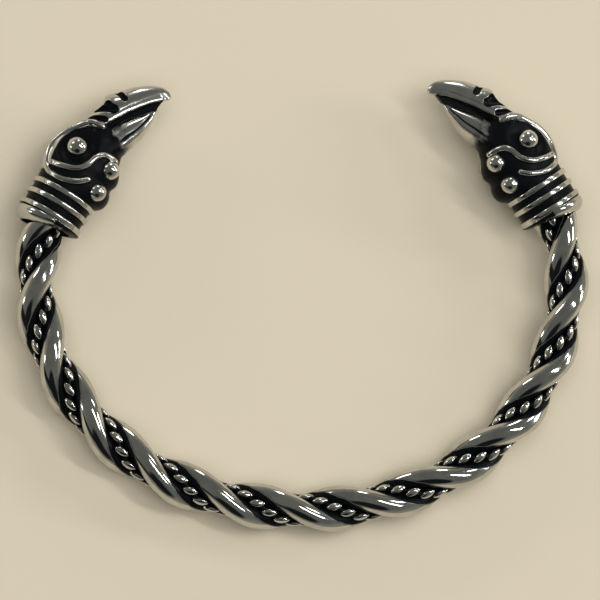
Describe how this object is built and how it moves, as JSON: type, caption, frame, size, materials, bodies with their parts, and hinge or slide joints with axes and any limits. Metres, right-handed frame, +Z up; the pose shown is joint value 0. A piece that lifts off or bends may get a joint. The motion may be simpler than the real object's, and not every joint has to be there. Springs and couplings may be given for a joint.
{
  "type": "viking arm ring",
  "caption": "Open arm ring of twisted metal rods and beaded wires, with a cast raven head at each end, worn round the wrist.",
  "frame": {"origin": "under the middle of the ring's bounding box, on the surface it lies on", "axes": "+Z up from the surface, +Y from the closed back of the ring to its open mouth, +X across the ring from the left head to the right one"},
  "size_m": [0.0782, 0.0616, 0.0096],
  "materials": {
    "polished_steel": "polished stainless steel with near-black patina in the hollows",
    "beaded_steel": "polished steel beads on a near-black core",
    "cast_steel": "polished cast steel with near-black patina in every hollow"
  },
  "bodies": {
    "root": {"plain_strand_1": "polished_steel", "plain_strand_2": "polished_steel", "beaded_strand_1": "beaded_steel", "beaded_strand_2": "beaded_steel", "raven_head_left": "cast_steel", "raven_head_right": "cast_steel"}
  },
  "joints": []
}
